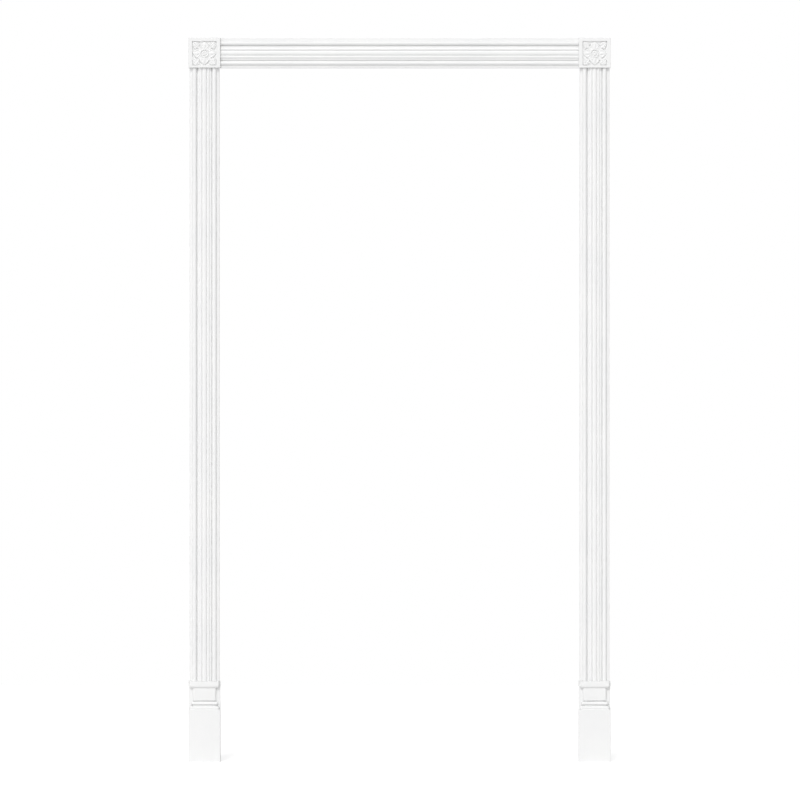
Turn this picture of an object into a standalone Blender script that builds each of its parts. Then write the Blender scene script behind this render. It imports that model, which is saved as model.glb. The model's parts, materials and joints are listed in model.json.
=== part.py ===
"""A door surround: two moulded side casings standing on plinth blocks, a head casing across the top, and a
carved rosette block in each upper corner.

Units are metres and +Z is up. The wall is the plane y = 0 and the front of the mouldings faces -Y. The origin
is on the wall, behind the middle of the head casing."""

import math

import bmesh
import bpy
from mathutils import Matrix

MM = 0.001

# Doorway that the surround frames
OPENING_WIDTH = 1076 * MM  # between the inner edges of the side casings
OPENING_HEIGHT = 2072 * MM  # from the floor to the underside of the head casing
JOINT = 0.3 * MM  # hairline between two pieces that butt together
BLOCK_OVERHANG = 3.1 * MM  # how far a rosette or plinth block stands out past each edge of the side casing

# Casing section, from the middle outwards
CENTRE_BEAD_WIDTH = 14.2 * MM
SIDE_BEAD_WIDTH = 8.6 * MM
FILLET_WIDTH = 4.6 * MM  # flat between the side bead and the quirk
QUIRK_WIDTH = 2.8 * MM  # narrow groove inside the outer bead
OUTER_BEAD_WIDTH = 13.3 * MM
LIP_WIDTH = 8.1 * MM  # flat outside the outer bead
CASING_DEPTH = 19.0 * MM  # wall to the crowns of the centre and outer beads
CENTRE_BEAD_RISE = 4.7 * MM
SIDE_BEAD_RISE = 3.5 * MM
OUTER_BEAD_RISE = 6.4 * MM
QUIRK_DEPTH = 2.0 * MM  # below the foot of the outer bead
CASING_EDGE_ROUND = 1.2 * MM

CASING_INNER_HALF = CENTRE_BEAD_WIDTH / 2 + SIDE_BEAD_WIDTH + FILLET_WIDTH
CASING_HALF = CASING_INNER_HALF + QUIRK_WIDTH + OUTER_BEAD_WIDTH + LIP_WIDTH
CASING_WIDTH = 2 * CASING_HALF
BLOCK_WIDTH = CASING_WIDTH + 2 * BLOCK_OVERHANG

# Rosette block: as tall as the head casing that it ends, with a square sunk panel
ROSETTE_DEPTH = 24.0 * MM
ROSETTE_EDGE_ROUND = 1.4 * MM
PANEL_BORDER = 8.2 * MM  # frame left above and below the panel, on average
PANEL_DROP = 1.4 * MM  # how far the panel sits below the block's middle
PANEL_SINK = 4.2 * MM
PANEL_HALF = CASING_HALF - PANEL_BORDER
CARVING_ROOT = 2.0 * MM  # how deep the foot of the carving reaches into the block
PETAL_RISE = 4.3 * MM  # heights above the panel's floor
LEAF_RISE = 3.9 * MM
BOSS_RISE = 5.0 * MM

# Carving, drawn on a panel whose edges are at -1 and 1
PETAL_START = 0.31
PETAL_WIDEST = 0.62
PETAL_TIP = 0.97
PETAL_HALF_WIDTH = 0.39
LEAF_START = 0.32  # distances along the panel's diagonal, from its middle
LEAF_SIDE_TIP = 0.93
LEAF_NOTCH = 0.99
LEAF_TIP = 1.37
LEAF_EDGE = 0.965  # line beside the panel's wall that the leaf stops at
BOSS_RADIUS = 0.36

# Plinth block, downwards from its top; a setback is measured in from the block's sides
PLINTH_HEIGHT = 241 * MM
PLINTH_DEPTH = 30.0 * MM
PLINTH_SLAB = 17.0 * MM  # full-width slab against the wall, behind the waist
FRONT_SHARE = 0.5  # setback of a moulding's front, as a share of the setback of its sides
CAP_HEIGHT = 19.5 * MM
CAP_SETBACK = 2.5 * MM
CAP_TOP_ROUND = 1.2 * MM
CAP_UNDER_REACH = 5.0 * MM  # the curve under the cap, inwards and upwards
CAP_UNDER_RISE = 8.0 * MM
NECK_HEIGHT = 37.6 * MM
NECK_SETBACK = 12.5 * MM
GROOVE_DEPTH = 4.5 * MM  # behind the moulding above it
UPPER_GROOVE_HEIGHT = 4.2 * MM
UPPER_OVOLO_HEIGHT = 7.2 * MM
UPPER_OVOLO_OUT = 3.0 * MM
UPPER_OVOLO_SETBACK = 7.2 * MM  # at its foot
LOWER_GROOVE_HEIGHT = 6.0 * MM
LOWER_OVOLO_HEIGHT = 6.6 * MM
LOWER_OVOLO_OUT = 2.4 * MM
LOWER_OVOLO_SETBACK = 2.8 * MM  # at its foot
FOOT_STEP_HEIGHT = 2.7 * MM  # thin step between the lower ovolo and the plain base
FOOT_STEP_SETBACK = 4.0 * MM
WAIST_CORNER_ROUND = 5.0 * MM  # upright corners of the cap, neck and ovolos
BASE_ROUND = 1.6 * MM  # eased front edges of the plain base

# Facets
BEAD_STEPS = 12  # along a whole bead
ROUND_STEPS = 4  # along a quarter round
CORNER_STEPS = 3  # round an upright corner of the waist
OVOLO_STEPS = 5  # down an ovolo and under the cap
PETAL_CELLS = (10, 10)  # across and along
LEAF_CELLS = (10, 15)
BOSS_SIDES = 28
SMOOTH_ANGLE = math.radians(35)

SIDE_CENTRE = OPENING_WIDTH / 2 + CASING_HALF
FLOOR = -(OPENING_HEIGHT + CASING_HALF)
FACE_UP = (math.pi / 2, 0, 0)  # a piece drawn face up, turned to stand against the wall


def clear_scene():
    for thing in list(bpy.data.objects):
        bpy.data.objects.remove(thing, do_unlink=True)


def new_collection(name):
    collection = bpy.data.collections.new(name)
    bpy.context.scene.collection.children.link(collection)
    return collection


def painted_wood():
    """White satin paint on wood."""
    material = bpy.data.materials.new("white_paint")
    material.use_nodes = True
    shader = material.node_tree.nodes["Principled BSDF"]
    shader.inputs["Base Color"].default_value = (0.86, 0.86, 0.855, 1)
    shader.inputs["Roughness"].default_value = 0.42
    shader.inputs["Metallic"].default_value = 0.0
    return material


def bench_object(name, data):
    """An object on the bench, where shapes are cut and joined before they are used."""
    thing = bpy.data.objects.new(name, data)
    bench.objects.link(thing)
    thing.hide_render = True
    thing.display_type = "WIRE"
    return thing


def evaluated_mesh(thing):
    """The mesh of a bench object with its modifiers, welded and facing out; the object is used up."""
    bpy.context.view_layer.update()
    depsgraph = bpy.context.evaluated_depsgraph_get()
    mesh = bpy.data.meshes.new_from_object(thing.evaluated_get(depsgraph))
    mesh.name = thing.name
    work = bmesh.new()
    work.from_mesh(mesh)
    bmesh.ops.remove_doubles(work, verts=work.verts, dist=0.00001)
    bmesh.ops.recalc_face_normals(work, faces=work.faces)
    work.to_mesh(mesh)
    work.free()
    bpy.data.objects.remove(thing, do_unlink=True)
    return mesh


def mesh_from(work, name):
    bmesh.ops.recalc_face_normals(work, faces=work.faces)
    mesh = bpy.data.meshes.new(name)
    work.to_mesh(mesh)
    work.free()
    return mesh


def extruded(name, outline, length):
    """A closed outline in its own XY plane, extruded by half the length to each side along Z."""
    curve = bpy.data.curves.new(name, "CURVE")
    curve.dimensions = "2D"
    curve.fill_mode = "BOTH"
    curve.extrude = length / 2
    spline = curve.splines.new("POLY")
    spline.points.add(len(outline) - 1)
    for point, (x, y) in zip(spline.points, outline):
        point.co = (x, y, 0, 1)
    spline.use_cyclic_u = True
    return evaluated_mesh(bench_object(name, curve))


def box(name, size, centre, eased_edge=None, ease=0):
    """A box; the edges that eased_edge picks by their middle point are rounded."""
    work = bmesh.new()
    bmesh.ops.create_cube(work, size=1)
    bmesh.ops.scale(work, vec=size, verts=work.verts)
    bmesh.ops.translate(work, vec=centre, verts=work.verts)
    if eased_edge:
        picked = [edge for edge in work.edges if eased_edge((edge.verts[0].co + edge.verts[1].co) / 2)]
        bmesh.ops.bevel(work, geom=picked, offset=ease, segments=ROUND_STEPS, profile=0.5, affect="EDGES")
    return mesh_from(work, name)


def combined(name, body, tools, operation):
    """A mesh cut by, or joined with, other meshes, each turned about Z."""
    thing = bench_object(name, body)
    helpers = new_collection(name + "_tools")
    for number, (mesh, turn) in enumerate(tools):
        tool = bpy.data.objects.new(name + "_tool_" + str(number), mesh)
        helpers.objects.link(tool)
        tool.rotation_euler = (0, 0, turn)
        tool.hide_render = True
        tool.display_type = "WIRE"
    boolean = thing.modifiers.new(operation.lower(), "BOOLEAN")
    boolean.operation = operation
    boolean.operand_type = "COLLECTION"
    boolean.collection = helpers
    mesh = evaluated_mesh(thing)
    for tool in list(helpers.objects):
        bpy.data.objects.remove(tool, do_unlink=True)
    bpy.data.collections.remove(helpers)
    return mesh


def finished(mesh):
    """Rounds shade smooth and arrises stay sharp."""
    mesh.shade_smooth()
    mesh.set_sharp_from_angle(angle=SMOOTH_ANGLE)
    mesh.materials.clear()
    mesh.materials.append(paint)
    return mesh


def place(name, mesh, location, rotation=(0, 0, 0)):
    piece = bpy.data.objects.new(name, mesh)
    parts.objects.link(piece)
    piece.location = location
    piece.rotation_euler = rotation


def arc(centre, reach, start, end, steps):
    """Points along an elliptical arc, its angles in degrees from +X towards +Y."""
    points = []
    for step in range(steps + 1):
        angle = math.radians(start + (end - start) * step / steps)
        points.append((centre[0] + reach[0] * math.cos(angle), centre[1] + reach[1] * math.sin(angle)))
    return points


def bead(start, width, foot, rise):
    """A half-round bead on a flat, from its inner foot to its outer foot."""
    return arc((start + width / 2, foot), (width / 2, rise), 180, 0, BEAD_STEPS)


def casing_section():
    """The casing's outline, X across it and Y out from the wall."""
    inner_foot = CASING_DEPTH - CENTRE_BEAD_RISE
    outer_foot = CASING_DEPTH - OUTER_BEAD_RISE
    quirk_floor = outer_foot - QUIRK_DEPTH
    side_bead_start = CENTRE_BEAD_WIDTH / 2
    quirk_start = CASING_INNER_HALF
    outer_bead_start = quirk_start + QUIRK_WIDTH
    half = arc((0, inner_foot), (CENTRE_BEAD_WIDTH / 2, CENTRE_BEAD_RISE), 90, 0, BEAD_STEPS // 2)
    half += bead(side_bead_start, SIDE_BEAD_WIDTH, inner_foot, SIDE_BEAD_RISE)[1:]
    half += [(quirk_start, inner_foot), (quirk_start, quirk_floor), (outer_bead_start, quirk_floor)]
    half += bead(outer_bead_start, OUTER_BEAD_WIDTH, outer_foot, OUTER_BEAD_RISE)
    edge_centre = (CASING_HALF - CASING_EDGE_ROUND, outer_foot - CASING_EDGE_ROUND)
    half += arc(edge_centre, (CASING_EDGE_ROUND, CASING_EDGE_ROUND), 90, 0, ROUND_STEPS)
    half += [(CASING_HALF, 0)]
    return [(-x, y) for x, y in reversed(half[1:])] + half


def casing(length):
    """A length of casing, its ends cut square."""
    return finished(extruded("casing", casing_section(), length))


def moulding(points, side_setback):
    """Points of a moulding's section as setback at the sides, setback at the front, and drop."""
    forward = side_setback * (1 - FRONT_SHARE)
    return [(setback, setback - forward, drop) for setback, drop in points]


def waist_line():
    """The plinth's mouldings from the cap's top to inside the base, and the drop at which the base starts."""
    top_centre = (CAP_SETBACK + CAP_TOP_ROUND, CAP_TOP_ROUND)
    under_centre = (CAP_SETBACK + CAP_UNDER_REACH, CAP_HEIGHT - CAP_UNDER_RISE)
    cap = arc(top_centre, (CAP_TOP_ROUND, CAP_TOP_ROUND), 270, 180, ROUND_STEPS)
    cap += arc(under_centre, (CAP_UNDER_REACH, CAP_UNDER_RISE), 180, 90, OVOLO_STEPS)
    drop = CAP_HEIGHT + NECK_HEIGHT
    neck = [(NECK_SETBACK, CAP_HEIGHT), (NECK_SETBACK, drop)]
    line = moulding(cap, CAP_SETBACK) + moulding(neck, NECK_SETBACK)
    ovolos = (
        (UPPER_GROOVE_HEIGHT, UPPER_OVOLO_SETBACK, UPPER_OVOLO_OUT, UPPER_OVOLO_HEIGHT),
        (LOWER_GROOVE_HEIGHT, LOWER_OVOLO_SETBACK, LOWER_OVOLO_OUT, LOWER_OVOLO_HEIGHT),
    )
    above = NECK_SETBACK
    for groove_height, setback, out, height in ovolos:
        groove = [(above + GROOVE_DEPTH, drop), (above + GROOVE_DEPTH, drop + groove_height)]
        drop += groove_height
        ovolo = arc((setback + out, drop + height), (out, height), 270, 180, OVOLO_STEPS)
        drop += height
        line += moulding(groove, above) + moulding(ovolo, setback)
        above = setback
    step = [(FOOT_STEP_SETBACK, drop), (FOOT_STEP_SETBACK, drop + FOOT_STEP_HEIGHT + BASE_ROUND)]
    line += moulding(step, FOOT_STEP_SETBACK)
    return line, drop + FOOT_STEP_HEIGHT


def waist_plan(side_setback, front_setback):
    """The waist seen from above: its front corners are rounded, and its back is inside the slab."""
    side = BLOCK_WIDTH / 2 - side_setback
    front = PLINTH_DEPTH - front_setback
    back = PLINTH_SLAB / 2
    corner = (side - WAIST_CORNER_ROUND, front - WAIST_CORNER_ROUND)
    quarter = arc(corner, (WAIST_CORNER_ROUND, WAIST_CORNER_ROUND), 0, 90, CORNER_STEPS)
    right = [(side, back)] + quarter
    return [(x, -y) for x, y in right] + [(-x, -y) for x, y in reversed(right)]


def waist():
    """Cap, neck and ovolos of a plinth, as rings stacked from the top down."""
    line, _ = waist_line()
    rings = [(waist_plan(side, front), PLINTH_HEIGHT - drop) for side, front, drop in line]
    corners = len(rings[0][0])
    work = bmesh.new()
    bmesh.ops.create_grid(work, x_segments=corners, y_segments=len(rings) - 1, size=0.5)
    for vertex in work.verts:
        plan, height = rings[round((vertex.co.y + 0.5) * (len(rings) - 1))]
        x, y = plan[round((vertex.co.x + 0.5) * corners) % corners]
        vertex.co = (x, y, height)
    bmesh.ops.remove_doubles(work, verts=work.verts, dist=0.00001)
    bmesh.ops.holes_fill(work, edges=[edge for edge in work.edges if edge.is_boundary], sides=0)
    return mesh_from(work, "waist")


def plinth():
    """A plinth block on its own origin: a slab along the wall, a plain base and the moulded waist."""
    _, mouldings_foot = waist_line()
    base_height = PLINTH_HEIGHT - mouldings_foot

    def front_edge(middle):
        return middle.y < -PLINTH_DEPTH + BASE_ROUND and middle.z > BASE_ROUND

    slab = box("slab", (BLOCK_WIDTH, PLINTH_SLAB, PLINTH_HEIGHT), (0, -PLINTH_SLAB / 2, PLINTH_HEIGHT / 2))
    base_size = (BLOCK_WIDTH, PLINTH_DEPTH, base_height)
    base = box("base", base_size, (0, -PLINTH_DEPTH / 2, base_height / 2), front_edge, BASE_ROUND)
    return finished(combined("plinth", slab, [(base, 0), (waist(), 0)], "UNION"))


def ease(share):
    """0 to 1 with a level start and end."""
    share = min(1, max(0, share))
    return share * share * (3 - 2 * share)


def hollow(place, middle, width):
    """1 at the middle of a soft hollow, and nearly 0 a few widths away."""
    return math.exp(-(((place - middle) / width) ** 2))


def carved(name, cells, surface):
    """A closed carved body: a sheet of cells that surface places by their shares across (-1 to 1) and along
    (0 to 1), with walls down to a flat foot inside the block. The cells are closest near the long edges."""
    work = bmesh.new()
    bmesh.ops.create_grid(work, x_segments=cells[0], y_segments=cells[1], size=0.5)
    for vertex in work.verts:
        vertex.co = surface(math.sin(math.pi * vertex.co.x), vertex.co.y + 0.5)
    bmesh.ops.remove_doubles(work, verts=work.verts, dist=0.00001)
    rim = [edge for edge in work.edges if edge.is_boundary]
    wall = bmesh.ops.extrude_edge_only(work, edges=rim)["geom"]
    for item in wall:
        if isinstance(item, bmesh.types.BMVert):
            item.co.z = -CARVING_ROOT
    bmesh.ops.holes_fill(work, edges=[edge for edge in work.edges if edge.is_boundary], sides=0)
    return mesh_from(work, name)


def petal_surface(across, along):
    """A pointed petal with a rib down its middle, a groove each side of it and a raised rim."""
    reach = PETAL_START + (PETAL_TIP - PETAL_START) * along
    if reach < PETAL_WIDEST:
        width = 0.35 + 0.65 * ease((reach - PETAL_START) / (PETAL_WIDEST - PETAL_START))
    else:
        width = ((PETAL_TIP - reach) / (PETAL_TIP - PETAL_WIDEST)) ** 0.8
    groove = 0.45 * hollow(abs(across), 0.42, 0.2) * hollow(reach, PETAL_WIDEST, 0.17)
    section = (1 - across**4) ** 0.5 * (1 - groove)
    length = (0.6 + 0.4 * hollow(reach, PETAL_WIDEST, 0.28)) * (1 - along**8) ** 0.5
    return (
        PANEL_HALF * PETAL_HALF_WIDTH * width * across,
        PANEL_HALF * reach,
        PETAL_RISE * section * length,
    )


def leaf_surface(across, along):
    """A corner leaf, drawn along the panel's diagonal: it swells from the boss to a broad tip that fills the
    corner, with a crease down its middle and a notch in each side behind the tip."""
    reach = LEAF_START + (LEAF_TIP - LEAF_START) * along
    swelling = 0.07 + 0.28 * ease((reach - LEAF_START) / (LEAF_SIDE_TIP - LEAF_START))
    notch = hollow(reach, LEAF_NOTCH, 0.035)
    beside_wall = LEAF_EDGE * math.sqrt(2) - reach
    blunt = (1 - ease((reach - LEAF_NOTCH) / (LEAF_TIP - LEAF_NOTCH)) ** 6) ** 0.5
    width = min(swelling - 0.13 * notch, beside_wall) * blunt
    crease = 0.38 * hollow(across, 0, 0.2) + 0.25 * notch * across**2
    section = (1 - across**4) ** 0.5 * (1 - crease)
    length = (0.4 + 0.6 * ease((reach - LEAF_START) / 0.7)) * (1 - along**10) ** 0.5
    return (PANEL_HALF * width * across, PANEL_HALF * reach, LEAF_RISE * section * length)


def boss():
    """The turned button in the middle: an outer ring, a groove, and a knob with a dimple in it."""
    outline = [(0, 0), (1, 0)]
    outline += arc((0.88, 0.72), (0.12, 0.28), 0, 180, 2 * ROUND_STEPS)
    outline += [(0.71, 0.64), (0.60, 0.64)]
    outline += arc((0.33, 0.72), (0.21, 0.24), 0, 180, 2 * ROUND_STEPS)
    outline += [(0, 0.70)]
    work = bmesh.new()
    corners = [
        work.verts.new((BOSS_RADIUS * PANEL_HALF * across, 0, (BOSS_RISE + CARVING_ROOT) * up - CARVING_ROOT))
        for across, up in outline
    ]
    for first, second in zip(corners, corners[1:]):
        work.edges.new((first, second))
    profile = bpy.data.meshes.new("boss")
    work.to_mesh(profile)
    work.free()
    turned = bench_object("boss", profile)
    screw = turned.modifiers.new("screw", "SCREW")
    screw.steps = BOSS_SIDES
    screw.render_steps = BOSS_SIDES
    screw.use_merge_vertices = True
    screw.merge_threshold = 0.00001
    return evaluated_mesh(turned)


def rosette():
    """A rosette block, drawn face up: eased front edges, a sunk panel, and the carving standing in it. It is
    drawn about the middle of the panel's floor, then moved so that the middle of its back is there."""
    floor = ROSETTE_DEPTH - PANEL_SINK

    def front_edge(middle):
        return middle.z > PANEL_SINK - ROSETTE_EDGE_ROUND

    block_size = (BLOCK_WIDTH, CASING_WIDTH, ROSETTE_DEPTH)
    block_centre = (0, PANEL_DROP, PANEL_SINK - ROSETTE_DEPTH / 2)
    block = box("block", block_size, block_centre, front_edge, ROSETTE_EDGE_ROUND)
    pocket = box("pocket", (2 * PANEL_HALF, 2 * PANEL_HALF, 2 * PANEL_SINK), (0, 0, PANEL_SINK))
    sunk = combined("sunk_block", block, [(pocket, 0)], "DIFFERENCE")
    petal = carved("petal", PETAL_CELLS, petal_surface)
    leaf = carved("leaf", LEAF_CELLS, leaf_surface)
    carving = [(boss(), 0)]
    for quarter in range(4):
        carving.append((petal, quarter * math.pi / 2))
        carving.append((leaf, (quarter + 0.5) * math.pi / 2))
    mesh = combined("rosette", sunk, carving, "UNION")
    mesh.transform(Matrix.Translation((0, -PANEL_DROP, floor)))
    return finished(mesh)


def build():
    block_half = BLOCK_WIDTH / 2
    head_length = 2 * (SIDE_CENTRE - block_half - JOINT)
    side_foot = FLOOR + PLINTH_HEIGHT + JOINT
    side_length = -CASING_HALF - JOINT - side_foot
    place("head_casing", casing(head_length), (0, 0, 0), (math.pi, -math.pi / 2, 0))
    side_mesh = casing(side_length)
    rosette_mesh = rosette()
    plinth_mesh = plinth()
    for side, name in ((-1, "left"), (1, "right")):
        x = side * SIDE_CENTRE
        place("side_casing_" + name, side_mesh, (x, 0, side_foot + side_length / 2), (0, 0, math.pi))
        place("rosette_" + name, rosette_mesh, (x, 0, 0), FACE_UP)
        place("plinth_" + name, plinth_mesh, (x, 0, FLOOR))


clear_scene()
parts = new_collection("door_surround_moulding")
bench = new_collection("bench")
paint = painted_wood()
build()
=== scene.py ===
import json
import math

import bmesh
import bpy
from mathutils import Matrix, Vector

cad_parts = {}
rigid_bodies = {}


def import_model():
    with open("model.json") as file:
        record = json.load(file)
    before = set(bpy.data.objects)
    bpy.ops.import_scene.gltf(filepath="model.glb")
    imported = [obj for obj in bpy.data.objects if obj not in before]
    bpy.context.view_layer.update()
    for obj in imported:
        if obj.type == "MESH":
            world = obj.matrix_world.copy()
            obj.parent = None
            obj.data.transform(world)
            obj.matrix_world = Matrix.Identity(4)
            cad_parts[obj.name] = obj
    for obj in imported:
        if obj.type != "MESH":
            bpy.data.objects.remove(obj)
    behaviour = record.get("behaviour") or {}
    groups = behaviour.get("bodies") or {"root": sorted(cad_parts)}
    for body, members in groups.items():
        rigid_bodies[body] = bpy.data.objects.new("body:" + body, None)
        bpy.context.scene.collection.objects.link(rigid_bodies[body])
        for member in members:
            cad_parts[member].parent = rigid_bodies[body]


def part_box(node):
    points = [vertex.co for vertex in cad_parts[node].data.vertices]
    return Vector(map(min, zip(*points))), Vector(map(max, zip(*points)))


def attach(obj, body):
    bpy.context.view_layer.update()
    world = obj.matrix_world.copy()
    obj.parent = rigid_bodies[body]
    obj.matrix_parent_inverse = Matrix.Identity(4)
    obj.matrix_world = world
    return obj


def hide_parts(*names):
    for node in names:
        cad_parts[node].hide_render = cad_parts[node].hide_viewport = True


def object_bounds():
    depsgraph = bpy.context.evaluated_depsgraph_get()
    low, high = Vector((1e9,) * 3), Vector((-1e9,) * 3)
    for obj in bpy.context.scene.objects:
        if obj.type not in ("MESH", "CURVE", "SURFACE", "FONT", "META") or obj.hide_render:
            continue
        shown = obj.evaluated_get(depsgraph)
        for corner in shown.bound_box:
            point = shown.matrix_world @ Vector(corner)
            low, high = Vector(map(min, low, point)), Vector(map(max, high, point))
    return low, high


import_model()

built_low, built_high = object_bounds()
mm = 0.001


# The surround stands free on a sheet of white floor before a white backdrop, seen square on from so far
# back that its uprights look parallel. A lamp stands high in front, a wide soft one fills in from the left,
# and the pale room behind the camera gives most of the light.
photo_side = 800  # pixels
photo_pixel = 2.985 * mm  # one pixel of the photograph, at the surround
head_centre_pixel = 52.9  # down the photograph
surround_centre_pixel = 399.55  # across it
face_out = 20 * mm  # where the mouldings' faces lie, out from the wall
lens_length = 200
film_width = 36
camera_distance = photo_side * photo_pixel * lens_length / film_width
lamps = (  # direction that each shines from, strength, and how wide it looks in degrees
    (Vector((-0.22, -1.0, 1.0)), 1.20, 18),
    (Vector((-1.0, -1.0, 0.4)), 0.48, 65),
)
room_light = (  # share of the way round from behind the camera to the backdrop, and strength there
    (0.0, 0.76),
    (0.5, 0.36),
    (0.65, 0.24),
    (1.0, 0.80),
)
backdrop_light = 1.0  # as the camera sees it
floor_side = 7.0
floor_white = 0.92
floor_glow = 0.48  # whitens the floor as the backdrop is, without lighting the surround from below

scene = bpy.context.scene
scene.view_settings.view_transform = "Standard"

camera = bpy.data.cameras.new("camera")
camera.lens = lens_length
camera.sensor_width = film_width
camera.clip_end = 3 * camera_distance
eye = bpy.data.objects.new("camera", camera)
scene.collection.objects.link(eye)
eye.location = (
    (photo_side / 2 - surround_centre_pixel) * photo_pixel,
    -face_out - camera_distance,
    (head_centre_pixel - photo_side / 2) * photo_pixel,
)
eye.rotation_euler = (math.pi / 2, 0, 0)
scene.camera = eye

for direction, strength, width in lamps:
    lamp = bpy.data.lights.new("lamp", "SUN")
    lamp.energy = strength
    lamp.angle = math.radians(width)
    lamp_stand = bpy.data.objects.new("lamp", lamp)
    lamp_stand.rotation_euler = direction.to_track_quat("Z", "Y").to_euler()
    scene.collection.objects.link(lamp_stand)

room = bpy.data.worlds.new("room")
room.use_nodes = True
room_nodes = room.node_tree.nodes
link = room.node_tree.links.new
background = room_nodes["Background"]
background.inputs["Color"].default_value = (1, 1, 1, 1)
outlook = room_nodes.new("ShaderNodeTexCoord")
outlook_axes = room_nodes.new("ShaderNodeSeparateXYZ")
link(outlook.outputs["Generated"], outlook_axes.inputs["Vector"])
way_round = room_nodes.new("ShaderNodeMapRange")
way_round.inputs["From Min"].default_value = -1.0
link(outlook_axes.outputs["Y"], way_round.inputs["Value"])
wall_light = room_nodes.new("ShaderNodeValToRGB")
wall_light.color_ramp.interpolation = "EASE"
stops = wall_light.color_ramp.elements
while len(stops) < len(room_light):
    stops.new(0.5)
for stop, (place, strength) in zip(stops, room_light):
    stop.position = place
    stop.color = (strength, strength, strength, 1)
link(way_round.outputs["Result"], wall_light.inputs["Fac"])
path = room_nodes.new("ShaderNodeLightPath")
brightness = room_nodes.new("ShaderNodeMapRange")
brightness.inputs["To Max"].default_value = backdrop_light
link(path.outputs["Is Camera Ray"], brightness.inputs["Value"])
link(wall_light.outputs["Color"], brightness.inputs["To Min"])
link(brightness.outputs["Result"], background.inputs["Strength"])
scene.world = room

paper = bpy.data.materials.new("studio_floor")
paper.use_nodes = True
paper_shader = paper.node_tree.nodes["Principled BSDF"]
paper_shader.inputs["Base Color"].default_value = (floor_white, floor_white, floor_white, 1)
paper_shader.inputs["Roughness"].default_value = 1.0
paper_shader.inputs["Specular IOR Level"].default_value = 0.0
paper_shader.inputs["Emission Color"].default_value = (1, 1, 1, 1)
paper_path = paper.node_tree.nodes.new("ShaderNodeLightPath")
glow = paper.node_tree.nodes.new("ShaderNodeMapRange")
glow.inputs["To Max"].default_value = floor_glow
paper.node_tree.links.new(paper_path.outputs["Is Camera Ray"], glow.inputs["Value"])
paper.node_tree.links.new(glow.outputs["Result"], paper_shader.inputs["Emission Strength"])
sheet = bmesh.new()
bmesh.ops.create_grid(sheet, size=floor_side / 2)
bmesh.ops.translate(sheet, vec=(0, 0, built_low.z), verts=sheet.verts)
floor_mesh = bpy.data.meshes.new("studio_floor")
sheet.to_mesh(floor_mesh)
sheet.free()
floor = bpy.data.objects.new("studio_floor", floor_mesh)
floor_mesh.materials.append(paper)
scene.collection.objects.link(floor)


# Two lengths of one stock casing stand up the sides of the doorway. Each is a wooden board run through a
# moulder: a centre bead between two small ones, then a quirk, a bold bead and a flat lip towards each edge.
# It is primed, sanded, painted white and nailed flat to the wall.
centre_bead = (14.2 * mm, 4.7 * mm)  # width and rise
side_bead = (8.6 * mm, 3.5 * mm)
outer_bead = (13.3 * mm, 6.4 * mm)
fillet_width = 4.6 * mm
quirk_width = 2.8 * mm
quirk_depth = 2.0 * mm
edge_round = 1.2 * mm
bead_steps = 28
round_steps = 6
arris = 0.35 * mm  # paint softens every edge sharper than arris_angle by this much
arris_steps = 3
arris_angle = 32
sharp_angle = 40  # a turn of fewer degrees than this is shaded as a round
white = (0.905, 0.905, 0.901)
cool_white = (0.880, 0.882, 0.882)
satin_ior = 1.47
brush_marks = 900.0  # this many to a metre, before the stroke draws them out
paint_clouds = 7.0
paint_stipple = 1900.0
noise_span = {"From_Min": 0.3, "From_Max": 0.7}  # what most of a noise lies between
cloud_span = {"From_Min": 0.35, "From_Max": 0.65}
brush_trough_painted_shade = 0.99  # painted shade: paint in the troughs between the brush marks' ridges has this much of its tone
recess_painted_shade = 0.97  # painted shade: paint in the quirks is darkened to this much of the tone that it has on the beads
quirk_out, bead_out = 9 * mm, 17 * mm  # distances from the wall that this painted shade runs between
satin_roughness = (0.36, 0.47)
stipple_height = 0.35  # as a share of the brush marks'
paint_relief = {"Strength": 0.28, "Distance": 0.02 * mm}
primer = (0.74, 0.735, 0.715)
primer_grain = 420.0
grain_shade = 0.88  # the grain's dark lines have this much of the primer's tone
grain_span = (0.3, 0.62)
primer_roughness = (0.7, 0.85)
grain_relief = {"Strength": 0.4, "Distance": 0.05 * mm}
squarely = 0.99  # a face turned to the wall or the floor by more than this is hidden


def arc(centre, reach, start, end, steps):
    """Points along an elliptical arc, its angles in degrees."""
    points = []
    for step in range(steps + 1):
        angle = math.radians(start + (end - start) * step / steps)
        points.append((centre[0] + reach[0] * math.cos(angle), centre[1] + reach[1] * math.sin(angle)))
    return points


def bead(start, foot, size):
    """A bead that starts this far across the casing, on this foot. Its size is its width and rise."""
    width, rise = size
    return arc((start + width / 2, foot), (width / 2, rise), 180, 0, bead_steps)


def casing_line(width, depth):
    """The casing's section, across and out from the wall."""
    inner_foot = depth - centre_bead[1]
    outer_foot = depth - outer_bead[1]
    side_start = centre_bead[0] / 2
    quirk_start = side_start + side_bead[0] + fillet_width
    outer_start = quirk_start + quirk_width
    half = arc((0, inner_foot), (side_start, centre_bead[1]), 90, 0, bead_steps // 2)
    half += bead(side_start, inner_foot, side_bead)[1:]
    half += [(quirk_start, inner_foot), (quirk_start, outer_foot - quirk_depth)]
    half += [(outer_start, outer_foot - quirk_depth)]
    half += bead(outer_start, outer_foot, outer_bead)
    edge_centre = (width / 2 - edge_round, outer_foot - edge_round)
    half += arc(edge_centre, (edge_round, edge_round), 90, 0, round_steps)
    half += [(width / 2, 0)]
    return [(-across, out) for across, out in reversed(half[1:])] + half


def node(tree, kind, **values):
    """A shader node with some of its sockets set."""
    made = tree.nodes.new(kind)
    for name, value in values.items():
        made.inputs[name.replace("_", " ")].default_value = value
    return made


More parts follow.
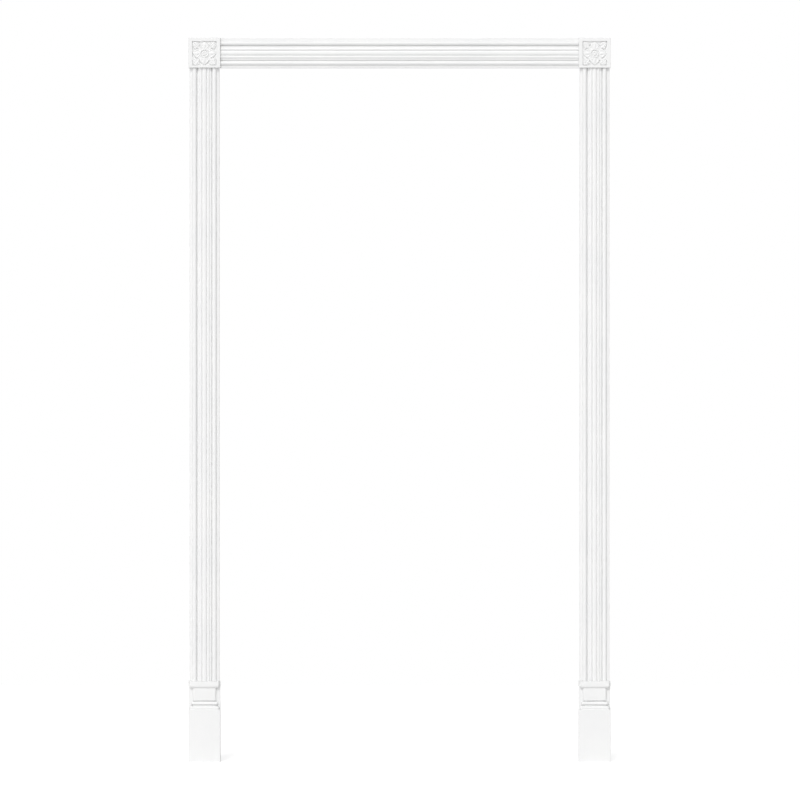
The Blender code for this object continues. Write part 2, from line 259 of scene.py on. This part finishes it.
def satin_paint(name, stroke, deep, proud):
    """White satin paint, painted darker towards the wall and in the troughs between its brush marks as shade.
    The stroke squeezes the brush marks along their run. Deep and proud are the distances from the wall at
    which this painted shade is darkest and where it ends."""
    material = bpy.data.materials.new(name)
    material.use_nodes = True
    tree = material.node_tree
    link = tree.links.new
    shader = tree.nodes["Principled BSDF"]
    shader.inputs["IOR"].default_value = satin_ior
    place = node(tree, "ShaderNodeTexCoord").outputs["Object"]
    run = node(tree, "ShaderNodeMapping", Scale=stroke)
    link(place, run.inputs["Vector"])

    marks = node(tree, "ShaderNodeTexNoise", Scale=brush_marks, Detail=4.0, Roughness=0.6)
    link(run.outputs["Vector"], marks.inputs["Vector"])
    cloud = node(tree, "ShaderNodeTexNoise", Scale=paint_clouds, Detail=3.0, Roughness=0.5)
    link(place, cloud.inputs["Vector"])
    stipple = node(tree, "ShaderNodeTexNoise", Scale=paint_stipple, Detail=2.0, Roughness=0.5)
    link(place, stipple.inputs["Vector"])

    tone = node(tree, "ShaderNodeMapRange", **cloud_span)
    link(cloud.outputs["Fac"], tone.inputs["Value"])
    whites = node(tree, "ShaderNodeMix")
    whites.data_type = "RGBA"
    first_colour, second_colour, mixed_colour = 6, 7, 2  # the node's sockets for colours
    whites.inputs[first_colour].default_value = (*white, 1)
    whites.inputs[second_colour].default_value = (*cool_white, 1)
    link(tone.outputs["Result"], whites.inputs["Factor"])

    axes = node(tree, "ShaderNodeSeparateXYZ")
    link(place, axes.inputs["Vector"])
    # painted shade: the paint is darker the nearer it lies to the wall, as in the quirks and recesses
    painted_recess_shade = node(
        tree, "ShaderNodeMapRange", From_Min=-deep, From_Max=-proud, To_Min=recess_painted_shade, To_Max=1.0
    )
    link(axes.outputs["Y"], painted_recess_shade.inputs["Value"])
    # painted shade in the troughs between the brush marks' ridges, where the bump is low
    brush_trough_shade = node(tree, "ShaderNodeMapRange", **noise_span, To_Min=brush_trough_painted_shade, To_Max=1.0)
    link(marks.outputs["Fac"], brush_trough_shade.inputs["Value"])
    shade = node(tree, "ShaderNodeMath")
    shade.operation = "MULTIPLY"
    link(painted_recess_shade.outputs["Result"], shade.inputs[0])
    link(brush_trough_shade.outputs["Result"], shade.inputs[1])
    colour = node(tree, "ShaderNodeVectorMath")
    colour.operation = "SCALE"
    link(whites.outputs[mixed_colour], colour.inputs[0])
    link(shade.outputs["Value"], colour.inputs["Scale"])
    link(colour.outputs["Vector"], shader.inputs["Base Color"])

    smooth, rough = satin_roughness
    gloss = node(tree, "ShaderNodeMapRange", **noise_span, To_Min=smooth, To_Max=rough)
    link(marks.outputs["Fac"], gloss.inputs["Value"])
    link(gloss.outputs["Result"], shader.inputs["Roughness"])

    skin = node(tree, "ShaderNodeMath")
    skin.operation = "MULTIPLY_ADD"
    skin.inputs[1].default_value = stipple_height
    link(stipple.outputs["Fac"], skin.inputs[0])
    link(marks.outputs["Fac"], skin.inputs[2])
    relief = node(tree, "ShaderNodeBump", **paint_relief)
    link(skin.outputs["Value"], relief.inputs["Height"])
    link(relief.outputs["Normal"], shader.inputs["Normal"])
    return material


def flat_primer(name, stroke):
    """Thin grey-white primer on the hidden backs, where the planed grain still shows."""
    material = bpy.data.materials.new(name)
    material.use_nodes = True
    tree = material.node_tree
    link = tree.links.new
    shader = tree.nodes["Principled BSDF"]
    place = node(tree, "ShaderNodeTexCoord").outputs["Object"]
    run = node(tree, "ShaderNodeMapping", Scale=stroke)
    link(place, run.inputs["Vector"])
    grain = node(tree, "ShaderNodeTexNoise", Scale=primer_grain, Detail=5.0, Roughness=0.65, Distortion=0.6)
    link(run.outputs["Vector"], grain.inputs["Vector"])
    colour = node(tree, "ShaderNodeValToRGB")
    dark, light = colour.color_ramp.elements
    dark.position, light.position = grain_span
    dark.color = (*(grain_shade * part for part in primer), 1)
    light.color = (*primer, 1)
    link(grain.outputs["Fac"], colour.inputs["Fac"])
    link(colour.outputs["Color"], shader.inputs["Base Color"])
    smooth, rough = primer_roughness
    gloss = node(tree, "ShaderNodeMapRange", To_Min=smooth, To_Max=rough)
    link(grain.outputs["Fac"], gloss.inputs["Value"])
    link(gloss.outputs["Result"], shader.inputs["Roughness"])
    relief = node(tree, "ShaderNodeBump", **grain_relief)
    link(grain.outputs["Fac"], relief.inputs["Height"])
    link(relief.outputs["Normal"], shader.inputs["Normal"])
    return material


def mesh_of(work, name):
    """A mesh of the finished work, its faces turned outwards."""
    bmesh.ops.recalc_face_normals(work, faces=work.faces)
    mesh = bpy.data.meshes.new(name)
    work.to_mesh(mesh)
    work.free()
    return mesh


def settled(thing):
    """Gives an object the mesh that its modifiers make, and takes them off."""
    bpy.context.view_layer.update()
    made = bpy.data.meshes.new_from_object(thing.evaluated_get(bpy.context.evaluated_depsgraph_get()))
    thing.modifiers.clear()
    thing.data = made


def soften(thing):
    """Rounds the arrises as coats of paint do, then shades flats flat and rounds smooth."""
    bevel = thing.modifiers.new("arris", "BEVEL")
    bevel.limit_method = "ANGLE"
    bevel.angle_limit = math.radians(arris_angle)
    bevel.width = arris
    bevel.segments = arris_steps
    settled(thing)
    thing.data.shade_smooth()
    thing.data.set_sharp_from_angle(angle=math.radians(sharp_angle))
    weighted = thing.modifiers.new("flats", "WEIGHTED_NORMAL")
    weighted.keep_sharp = True
    settled(thing)


def paint_over(thing, paint, back):
    """Paint on every face but those against the wall and the floor, which are only primed."""
    thing.data.materials.clear()
    thing.data.materials.append(paint)
    thing.data.materials.append(back)
    for face in thing.data.polygons:
        on_wall = face.normal.y > squarely
        on_floor = face.normal.z < -squarely and face.center.z < built_low.z + mm
        face.material_index = 1 if on_wall or on_floor else 0


def run_of_casing(name, line, centre, across, along, length):
    """A length of casing about its centre on the wall, its two ends sawn square."""
    work = bmesh.new()
    ends = []
    for side in (-0.5, 0.5):
        ends.append([
            work.verts.new(centre + across * over + Vector((0, -out, 0)) + along * side * length)
            for over, out in line
        ])
    first, last = ends
    for here in range(len(line)):
        after = (here + 1) % len(line)
        work.faces.new((first[here], first[after], last[after], last[here]))
    work.faces.new(first)
    work.faces.new(last)
    piece = bpy.data.objects.new(name, mesh_of(work, name))
    scene.collection.objects.link(piece)
    soften(piece)
    return piece


upright_stroke = (1, 1, 0.02)
upright_paint = satin_paint("upright_paint", upright_stroke, quirk_out, bead_out)
upright_primer = flat_primer("upright_primer", upright_stroke)

for hand in ("left", "right"):
    node_name = "side_casing_" + hand
    low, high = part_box(node_name)
    middle = (low + high) / 2
    side = run_of_casing(
        "casing_" + hand,
        casing_line(high.x - low.x, -low.y),
        Vector((middle.x, 0, middle.z)),
        Vector((1, 0, 0)),
        Vector((0, 0, 1)),
        high.z - low.z,
    )
    paint_over(side, upright_paint, upright_primer)
    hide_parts(node_name)
    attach(side, "root")


# The head casing is the same stock laid level over the doorway. It is sawn square at both ends, sits between
# the two corner blocks, and is nailed to the wall like the sides.
level_stroke = (0.02, 1, 1)
low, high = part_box("head_casing")
middle = (low + high) / 2
head = run_of_casing(
    "casing_head",
    casing_line(high.z - low.z, -low.y),
    Vector((middle.x, 0, middle.z)),
    Vector((0, 0, 1)),
    Vector((1, 0, 0)),
    high.x - low.x,
)
level_paint = satin_paint("level_paint", level_stroke, quirk_out, bead_out)
level_primer = flat_primer("level_primer", level_stroke)
paint_over(head, level_paint, level_primer)
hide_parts("head_casing")
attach(head, "root")


# Each side casing stands on a plinth block. It is one block of wood: a plain base that a skirting butts
# against, and over it two ovolos, a narrow neck and a cap, shaped round the front and both sides as far as a
# slab that stays full width along the wall.
slab_depth = 17.0 * mm
front_share = 0.5  # setback of a moulding's front, as a share of its sides'
cap_height = 19.5 * mm
cap_setback = 2.5 * mm
cap_top_round = 1.2 * mm
cap_under = (5.0 * mm, 8.0 * mm)  # inwards and upwards
neck_height = 37.6 * mm
neck_setback = 12.5 * mm
groove_depth = 4.5 * mm
ovolos = (  # height of the groove over it, then setback at its foot, reach and height
    (4.2 * mm, 7.2 * mm, 3.0 * mm, 7.2 * mm),
    (6.0 * mm, 2.8 * mm, 2.4 * mm, 6.6 * mm),
)
foot_step = (4.0 * mm, 2.7 * mm)  # setback and height
upright_corner = 5.0 * mm
base_round = 1.6 * mm
corner_steps = 10
waist_out, base_out = 12 * mm, 26 * mm  # distances from the wall that the painted shade runs between


def box_of(name, size, centre, eased=None, ease=0, steps=round_steps):
    """A box, with the edges that eased picks by their middle point rounded."""
    work = bmesh.new()
    bmesh.ops.create_cube(work, size=1)
    bmesh.ops.scale(work, vec=size, verts=work.verts)
    bmesh.ops.translate(work, vec=centre, verts=work.verts)
    if eased:
        picked = [edge for edge in work.edges if eased((edge.verts[0].co + edge.verts[1].co) / 2)]
        bmesh.ops.bevel(work, geom=picked, offset=ease, segments=steps, profile=0.5, affect="EDGES")
    return mesh_of(work, name)


def joined(name, body, tools, operation="UNION"):
    """A piece cut by, or made one with, other meshes, each turned about Z."""
    piece = bpy.data.objects.new(name, body)
    scene.collection.objects.link(piece)
    helpers = bpy.data.collections.new(name + "_tools")
    scene.collection.children.link(helpers)
    for number, (mesh, turn) in enumerate(tools):
        tool = bpy.data.objects.new(name + "_tool_" + str(number), mesh)
        tool.rotation_euler = (0, 0, turn)
        helpers.objects.link(tool)
    boolean = piece.modifiers.new("join", "BOOLEAN")
    boolean.operation = operation
    boolean.operand_type = "COLLECTION"
    boolean.collection = helpers
    settled(piece)
    for tool in list(helpers.objects):
        bpy.data.objects.remove(tool, do_unlink=True)
    bpy.data.collections.remove(helpers)
    return piece


def moulding(points, side_setback):
    """Points of one moulding as setback at the sides, setback at the front, and drop."""
    forward = side_setback * (1 - front_share)
    return [(setback, setback - forward, drop) for setback, drop in points]


def waist_line():
    """The mouldings from the cap down to the base, and the drop at which the base starts."""
    top_centre = (cap_setback + cap_top_round, cap_top_round)
    cap = arc(top_centre, (cap_top_round, cap_top_round), 270, 180, round_steps)
    under_centre = (cap_setback + cap_under[0], cap_height - cap_under[1])
    cap += arc(under_centre, cap_under, 180, 90, 2 * round_steps)
    drop = cap_height + neck_height
    points = moulding(cap, cap_setback)
    points += moulding([(neck_setback, cap_height), (neck_setback, drop)], neck_setback)
    above = neck_setback
    for groove_height, setback, out, height in ovolos:
        groove_in = above + groove_depth
        points += moulding([(groove_in, drop), (groove_in, drop + groove_height)], above)
        drop += groove_height
        ovolo = arc((setback + out, drop + height), (out, height), 270, 180, 2 * round_steps)
        points += moulding(ovolo, setback)
        drop += height
        above = setback
    points += moulding([(foot_step[0], drop), (foot_step[0], drop + foot_step[1] + base_round)], foot_step[0])
    return points, drop + foot_step[1]


def waist(width, depth, height):
    """Cap, neck and ovolos as rings stacked from the top down, their front corners rounded."""
    points, _ = waist_line()
    work = bmesh.new()
    rings = []
    for side_setback, front_setback, drop in points:
        side = width / 2 - side_setback
        front = depth - front_setback
        corner = (side - upright_corner, front - upright_corner)
        half = [(side, slab_depth / 2)] + arc(corner, (upright_corner, upright_corner), 0, 90, corner_steps)
        plan = [(x, -y) for x, y in half] + [(-x, -y) for x, y in reversed(half)]
        rings.append([work.verts.new((x, y, height - drop)) for x, y in plan])
    for upper, lower in zip(rings, rings[1:]):
        for here in range(len(upper)):
            after = (here + 1) % len(upper)
            work.faces.new((upper[here], upper[after], lower[after], lower[here]))
    work.faces.new(rings[0])
    work.faces.new(rings[-1])
    return mesh_of(work, "waist")


def plinth_block(name, width, depth, height):
    """The whole block, standing on its own origin."""
    _, mouldings_foot = waist_line()
    base_height = height - mouldings_foot

    def front_edge(middle):
        return middle.y < -depth + base_round and middle.z > base_round

    slab_mesh = box_of("slab", (width, slab_depth, height), (0, -slab_depth / 2, height / 2))
    base_mesh = box_of(
        "base", (width, depth, base_height), (0, -depth / 2, base_height / 2), front_edge, base_round
    )
    return joined(name, slab_mesh, [(base_mesh, 0), (waist(width, depth, height), 0)])


plinth_paint = satin_paint("plinth_paint", upright_stroke, waist_out, base_out)
for hand in ("left", "right"):
    node_name = "plinth_" + hand
    low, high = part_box(node_name)
    block = plinth_block("plinth_block_" + hand, high.x - low.x, -low.y, high.z - low.z)
    block.data.transform(Matrix.Translation(((low.x + high.x) / 2, 0, low.z)))
    soften(block)
    paint_over(block, plinth_paint, upright_primer)
    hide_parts(node_name)
    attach(block, "root")


# A carved wooden block covers each upper corner, so that neither casing needs a mitre. It is nailed to the
# wall and painted with the rest. Its square panel is sunk in a plain frame and holds a rosette: a turned
# button, four ribbed petals, and a veined leaf in each corner.
frame_round = 1.4 * mm
frame_border = 8.2 * mm  # above and below the panel, on average
panel_drop = 1.4 * mm  # the panel sits this much below the block's middle
panel_sink = 4.2 * mm
carving_root = 2.0 * mm  # how far the carved bodies reach in under the panel's floor
petal_rise = 4.3 * mm
leaf_rise = 3.9 * mm
button_rise = 5.0 * mm

# From here on, places and widths in the carving are shares of half the panel. A groove, rim, rib, crease or
# vein has its depth or height as a share of its petal's or leaf's, and its middle and width as shares of the
# way across. An edge with a higher power is squarer.
petal_start, petal_widest, petal_tip, petal_half_width = 0.31, 0.58, 0.97, 0.39
petal_stalk = 0.35  # width at the petal's start, as a share of its greatest width
petal_shoulder = 0.6  # how round the petal turns at its widest
petal_groove, petal_groove_length = (0.5, 0.42, 0.2), 0.17
petal_rim = (0.06, 0.84, 0.09)
petal_rib, petal_rib_length = (0.10, 0.0, 0.07), 0.25
petal_low = 0.6  # height at the petal's ends, as a share of its rise
petal_swell_length = 0.28
petal_side_power, petal_rim_power, petal_tip_power = 5, 8, 10

moat_start, moat_end = 0.46, 0.985  # the moat is cut round a petal's outer part
moat_width = 0.065
moat_entry = 0.3  # width at the moat's start, as a share of its full width
moat_depth = 0.6 * mm  # below the panel's floor

leaf_start, leaf_side_tip, leaf_notch, leaf_tip = 0.32, 0.93, 0.99, 1.37  # along the panel's diagonal
leaf_edge = 0.965  # line beside the panel's wall that the leaf stops at
leaf_stalk, leaf_half_width = 0.07, 0.35  # half the leaf's width at its start, and at its side tips
leaf_notch_width, leaf_notch_bite, leaf_notch_dip = 0.032, 0.13, 0.28
leaf_nicks = ((1.16, 0.018), (0.82, 0.02))
leaf_nick_bite, leaf_nick_dip = 0.016, 0.10
leaf_creases = ((0.30, 0.0, 0.10), (0.12, 0.0, 0.3))
leaf_vein, leaf_tip_vein, leaf_vein_fade = (0.34, 0.58, 0.11), (0.16, 0.5, 0.12), 0.08
leaf_low = 0.4  # height at the leaf's start, as a share of its rise
leaf_swell_length = 0.7
leaf_blunt_power, leaf_side_power, leaf_tip_power = 6, 5, 14

button_radius = 0.36
button_ring = ((0.89, 0.72), (0.11, 0.28))  # an arc's centre and reach, in shares of the radius and rise
button_groove = ((0.64, 0.72), (0.14, 0.26))
button_boss = ((0.31, 0.72), (0.19, 0.26))
button_dimple = ((0.0, 0.72), (0.12, 0.14))
mound = (  # reach and height, from under the button outwards
    (0.0, 0.0), (0.31, 0.0), (0.33, 2.6 * mm), (0.40, 2.6 * mm), (0.48, 2.2 * mm),
    (0.56, 1.5 * mm), (0.64, 0.7 * mm), (0.72, 0.15 * mm), (0.76, -0.2 * mm),
)

petal_cells = (36, 54)
leaf_cells = (48, 80)
button_sides = 96
touch = 0.002 * mm  # points closer than this are made one
carving_sharp_angle = 38
block_stroke = (1, 1, 0.1)
panel_out, carving_out = 20 * mm, 27 * mm  # distances from the wall that the painted shade runs between


def ease(share):
    """0 to 1 with a level start and end."""
    share = min(1, max(0, share))
    return share * share * (3 - 2 * share)


def hollow(place, middle, width):
    """1 at the middle of a soft hollow, and nearly 0 a few widths away."""
    return math.exp(-(((place - middle) / width) ** 2))


def cut(place, line):
    """How deep a carved line is at a place, from its depth, middle and width."""
    depth, middle, width = line
    return depth * hollow(place, middle, width)


def carved(name, cells, surface):
    """A closed carved body: a sheet of cells over shares across (-1 to 1) and along (0 to 1), with walls down
    to a flat foot inside the block."""
    work = bmesh.new()
    bmesh.ops.create_grid(work, x_segments=cells[0], y_segments=cells[1], size=0.5)
    for vertex in work.verts:
        vertex.co = surface(math.sin(math.pi * vertex.co.x), vertex.co.y + 0.5)
    bmesh.ops.remove_doubles(work, verts=work.verts, dist=touch)
    rim = [edge for edge in work.edges if edge.is_boundary]
    wall = bmesh.ops.extrude_edge_only(work, edges=rim)["geom"]
    for item in wall:
        if isinstance(item, bmesh.types.BMVert):
            item.co.z = -carving_root
    bmesh.ops.holes_fill(work, edges=[edge for edge in work.edges if edge.is_boundary], sides=0)
    return mesh_of(work, name)


def petal_width(reach):
    """The petal's width this far from the button's middle, as a share of its greatest width."""
    if reach < petal_widest:
        return petal_stalk + (1 - petal_stalk) * ease((reach - petal_start) / (petal_widest - petal_start))
    taper = (reach - petal_widest) / (petal_tip - petal_widest)
    end = math.hypot(1, petal_shoulder)
    return max(0, end - math.hypot(taper, petal_shoulder)) / (end - petal_shoulder)


def moat(panel_half):
    """The knife's path round a petal's outer part, sloping through the leaves to below the panel's floor."""
    work = bmesh.new()
    rings = []
    for step in range(petal_cells[1] + 1):
        reach = moat_start + (moat_end - moat_start) * step / petal_cells[1]
        entry = ease((reach - moat_start) / (petal_widest - moat_start))
        beside = moat_width * (moat_entry + (1 - moat_entry) * entry)
        side = panel_half * (petal_half_width * petal_width(reach) + beside)
        foot = petal_rise - (petal_rise + moat_depth) * entry
        brim = 2 * petal_rise
        rings.append([
            work.verts.new((across, panel_half * reach, level))
            for across, level in ((-side, foot), (side, foot), (side, brim), (-side, brim))
        ])
    for near, far in zip(rings, rings[1:]):
        for here in range(4):
            after = (here + 1) % 4
            work.faces.new((near[here], near[after], far[after], far[here]))
    work.faces.new(rings[0])
    work.faces.new(rings[-1])
    return mesh_of(work, "moat")


def petal(panel_half):
    """A pointed petal: a rib down its middle, a groove on each side of it, and a rolled rim."""

    def surface(across, along):
        reach = petal_start + (petal_tip - petal_start) * along
        width = petal_width(reach)
        over = abs(across)
        groove = cut(over, petal_groove) * hollow(reach, petal_widest, petal_groove_length)
        rim = cut(over, petal_rim) * (1 - over**petal_rim_power)
        rib = cut(over, petal_rib) * hollow(reach, petal_widest, petal_rib_length)
        section = (1 - over**petal_side_power) ** 0.5 * (1 - groove) + rim + rib
        swell = petal_low + (1 - petal_low) * hollow(reach, petal_widest, petal_swell_length)
        length = swell * (1 - along**petal_tip_power) ** 0.5
        x = panel_half * petal_half_width * width * across
        return (x, panel_half * reach, petal_rise * section * length)

    return carved("petal", petal_cells, surface)


def leaf(panel_half):
    """A corner leaf, drawn along the panel's diagonal. It swells from the button to a broad tip in the
    corner, with a crease down its middle, a vein into each lobe, and notches in its sides."""

    def surface(across, along):
        reach = leaf_start + (leaf_tip - leaf_start) * along
        over = abs(across)
        growth = ease((reach - leaf_start) / (leaf_side_tip - leaf_start))
        swelling = leaf_stalk + (leaf_half_width - leaf_stalk) * growth
        notch = hollow(reach, leaf_notch, leaf_notch_width)
        nick = sum(hollow(reach, middle, width) for middle, width in leaf_nicks)
        beside_wall = leaf_edge * math.sqrt(2) - reach
        past_notch = reach - leaf_notch
        blunt = (1 - ease(past_notch / (leaf_tip - leaf_notch)) ** leaf_blunt_power) ** 0.5
        width = (min(swelling - leaf_notch_bite * notch, beside_wall) - leaf_nick_bite * nick) * blunt
        crease = sum(cut(over, line) for line in leaf_creases)
        fade = ease(past_notch / leaf_vein_fade)
        vein = cut(over, leaf_vein) * ease(along * 2) * (1 - fade)
        tip_vein = cut(over, leaf_tip_vein) * fade
        dip = leaf_notch_dip * notch * across**2 + leaf_nick_dip * nick * over**4
        section = (1 - over**leaf_side_power) ** 0.5 * (1 - crease - vein - tip_vein - dip)
        swell = leaf_low + (1 - leaf_low) * ease((reach - leaf_start) / leaf_swell_length)
        length = swell * (1 - along**leaf_tip_power) ** 0.5
        return (panel_half * width * across, panel_half * reach, leaf_rise * section * length)

    return carved("leaf", leaf_cells, surface)


def turned(name, outline):
    """A body turned about Z from its outline of radius and height, which starts and ends on the axis."""
    work = bmesh.new()
    rings = [
        [
            work.verts.new((radius * math.cos(turn), radius * math.sin(turn), level))
            for turn in (2 * math.pi * step / button_sides for step in range(button_sides))
        ]
        for radius, level in outline
    ]
    for inner, outer in zip(rings, rings[1:]):
        for here in range(button_sides):
            after = (here + 1) % button_sides
            work.faces.new((inner[here], inner[after], outer[after], outer[here]))
    bmesh.ops.remove_doubles(work, verts=work.verts, dist=touch)
    return mesh_of(work, name)


def button(panel_half):
    """The button: an outer ring, a groove, and a boss with a dimple in it."""
    outline = [(0, 0), (1, 0)]
    outline += arc(*button_ring, 0, 180, 3 * round_steps)
    outline += arc(*button_groove, 0, -180, 2 * round_steps)[1:]
    outline += arc(*button_boss, 0, 180, 3 * round_steps)[1:]
    outline += arc(*button_dimple, 0, -90, round_steps)[1:]
    radius = button_radius * panel_half
    rise = button_rise + carving_root
    return turned("button", [(radius * across, rise * up - carving_root) for across, up in outline])


def low_mound(panel_half):
    """The swelling that the petals and leaves grow from, round the button."""
    foot = panel_half * mound[-1][0]
    outline = [(0, -carving_root), (foot, -carving_root)]
    outline += [(panel_half * reach, level) for reach, level in reversed(mound)]
    return turned("mound", outline)


def corner_block(name, width, height, depth):
    """The whole block, drawn face up about the middle of its panel, then moved so that its back is there."""
    panel_half = height / 2 - frame_border

    def front_edge(middle):
        return middle.z > panel_sink - frame_round

    centre = (0, panel_drop, panel_sink - depth / 2)
    blank = box_of("blank", (width, height, depth), centre, front_edge, frame_round, 2 * round_steps)
    pocket = box_of("pocket", (2 * panel_half, 2 * panel_half, 2 * panel_sink), (0, 0, panel_sink))
    sunk = joined(name, blank, [(pocket, 0)], "DIFFERENCE")
    soften(sunk)
    quarters = [quarter * math.pi / 2 for quarter in range(4)]
    leaf_mesh = leaf(panel_half)
    moat_mesh = moat(panel_half)
    petal_mesh = petal(panel_half)
    block = sunk
    for operation, tools in (
        ("UNION", [(low_mound(panel_half), 0)] + [(leaf_mesh, turn + math.pi / 4) for turn in quarters]),
        ("DIFFERENCE", [(moat_mesh, turn) for turn in quarters]),
        ("UNION", [(button(panel_half), 0)] + [(petal_mesh, turn) for turn in quarters]),
    ):
        body = block.data
        bpy.data.objects.remove(block, do_unlink=True)
        block = joined(name, body, tools, operation)
    work = bmesh.new()
    work.from_mesh(block.data)
    bmesh.ops.dissolve_degenerate(work, dist=touch, edges=work.edges)
    work.to_mesh(block.data)
    work.free()
    block.data.transform(Matrix.Translation((0, -panel_drop, depth - panel_sink)))
    return block


rosette_paint = satin_paint("rosette_paint", block_stroke, panel_out, carving_out)
low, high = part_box("rosette_left")
button_proud = button_rise - panel_sink
pattern = corner_block("pattern", high.x - low.x, high.z - low.z, -low.y - button_proud)
pattern.data.shade_smooth()
pattern.data.set_sharp_from_angle(angle=math.radians(carving_sharp_angle))
for hand in ("left", "right"):
    node_name = "rosette_" + hand
    low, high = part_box(node_name)
    middle = (low + high) / 2
    block = bpy.data.objects.new("rosette_block_" + hand, pattern.data.copy())
    scene.collection.objects.link(block)
    block.data.transform(Matrix.Translation((middle.x, 0, middle.z)) @ Matrix.Rotation(math.pi / 2, 4, "X"))
    paint_over(block, rosette_paint, upright_primer)
    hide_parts(node_name)
    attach(block, "root")
bpy.data.objects.remove(pattern, do_unlink=True)
